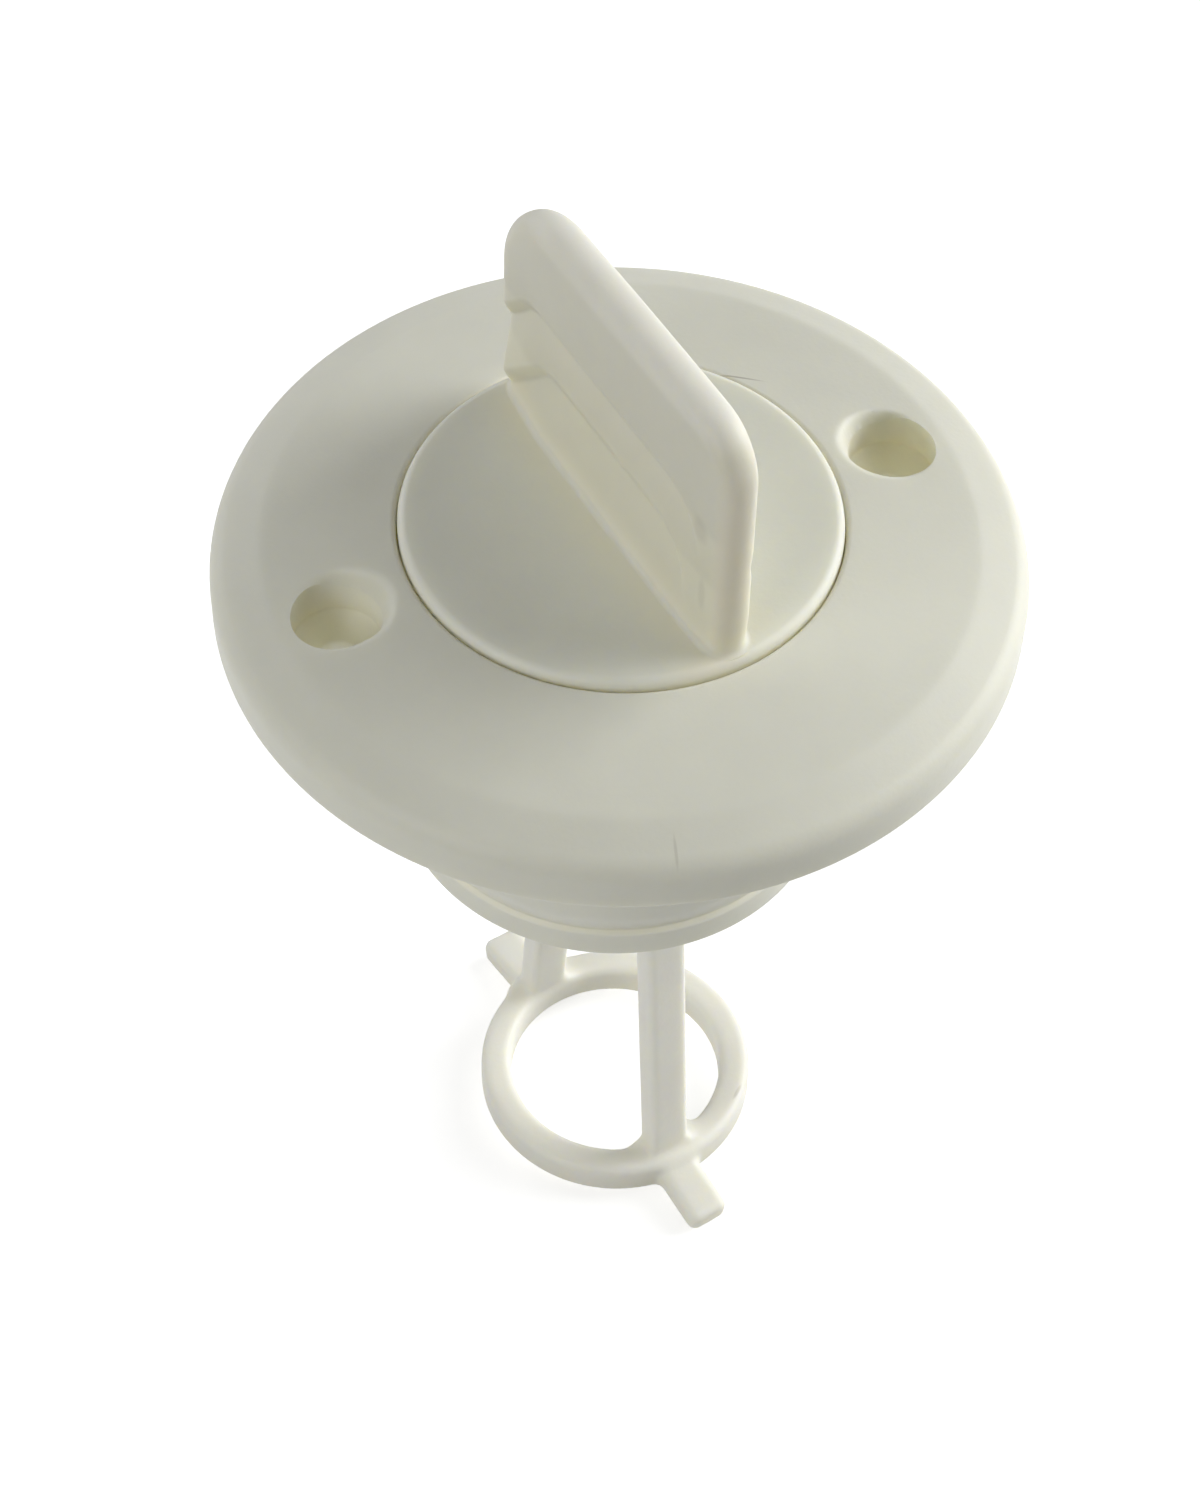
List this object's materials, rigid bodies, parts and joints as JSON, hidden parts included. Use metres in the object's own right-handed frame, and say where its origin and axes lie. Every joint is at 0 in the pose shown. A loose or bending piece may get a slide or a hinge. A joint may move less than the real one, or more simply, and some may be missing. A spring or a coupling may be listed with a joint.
{
  "type": "captive drain plug and socket",
  "caption": "Round flanged drain socket for a boat with a screw plug that has a finger wing and hangs captive on a ringed cage.",
  "frame": {"origin": "middle of the flange's underside, the face that lies on the hull, midway between the two screw holes", "axes": "+Z along the plug's axis, out of the hull towards the finger wing; X through the two screw holes"},
  "size_m": [0.054, 0.054, 0.0864],
  "materials": {
    "socket_plastic": "satin moulded, greyish white",
    "plug_plastic": "satin moulded, cream white, slightly translucent",
    "seal_rubber": "matte"
  },
  "bodies": {
    "socket": {"socket": "socket_plastic"},
    "sealing_ring": {"sealing_ring": "seal_rubber"},
    "plug": {"plug": "plug_plastic"}
  },
  "joints": [
    {"name": "plug_lift", "type": "slide", "parent": "socket", "child": "sealing_ring", "axis": [0, 0, 1], "range_m": [0, 0.037]},
    {"name": "plug_turn", "type": "hinge", "parent": "sealing_ring", "child": "plug", "pos_m": [0, 0, 0], "axis": [0, 0, 1], "range_deg": [0, 3324]}
  ],
  "couplings": [
    {"joint": "plug_lift", "follows": "plug_turn", "m_per_rad": 0.00063662}
  ]
}
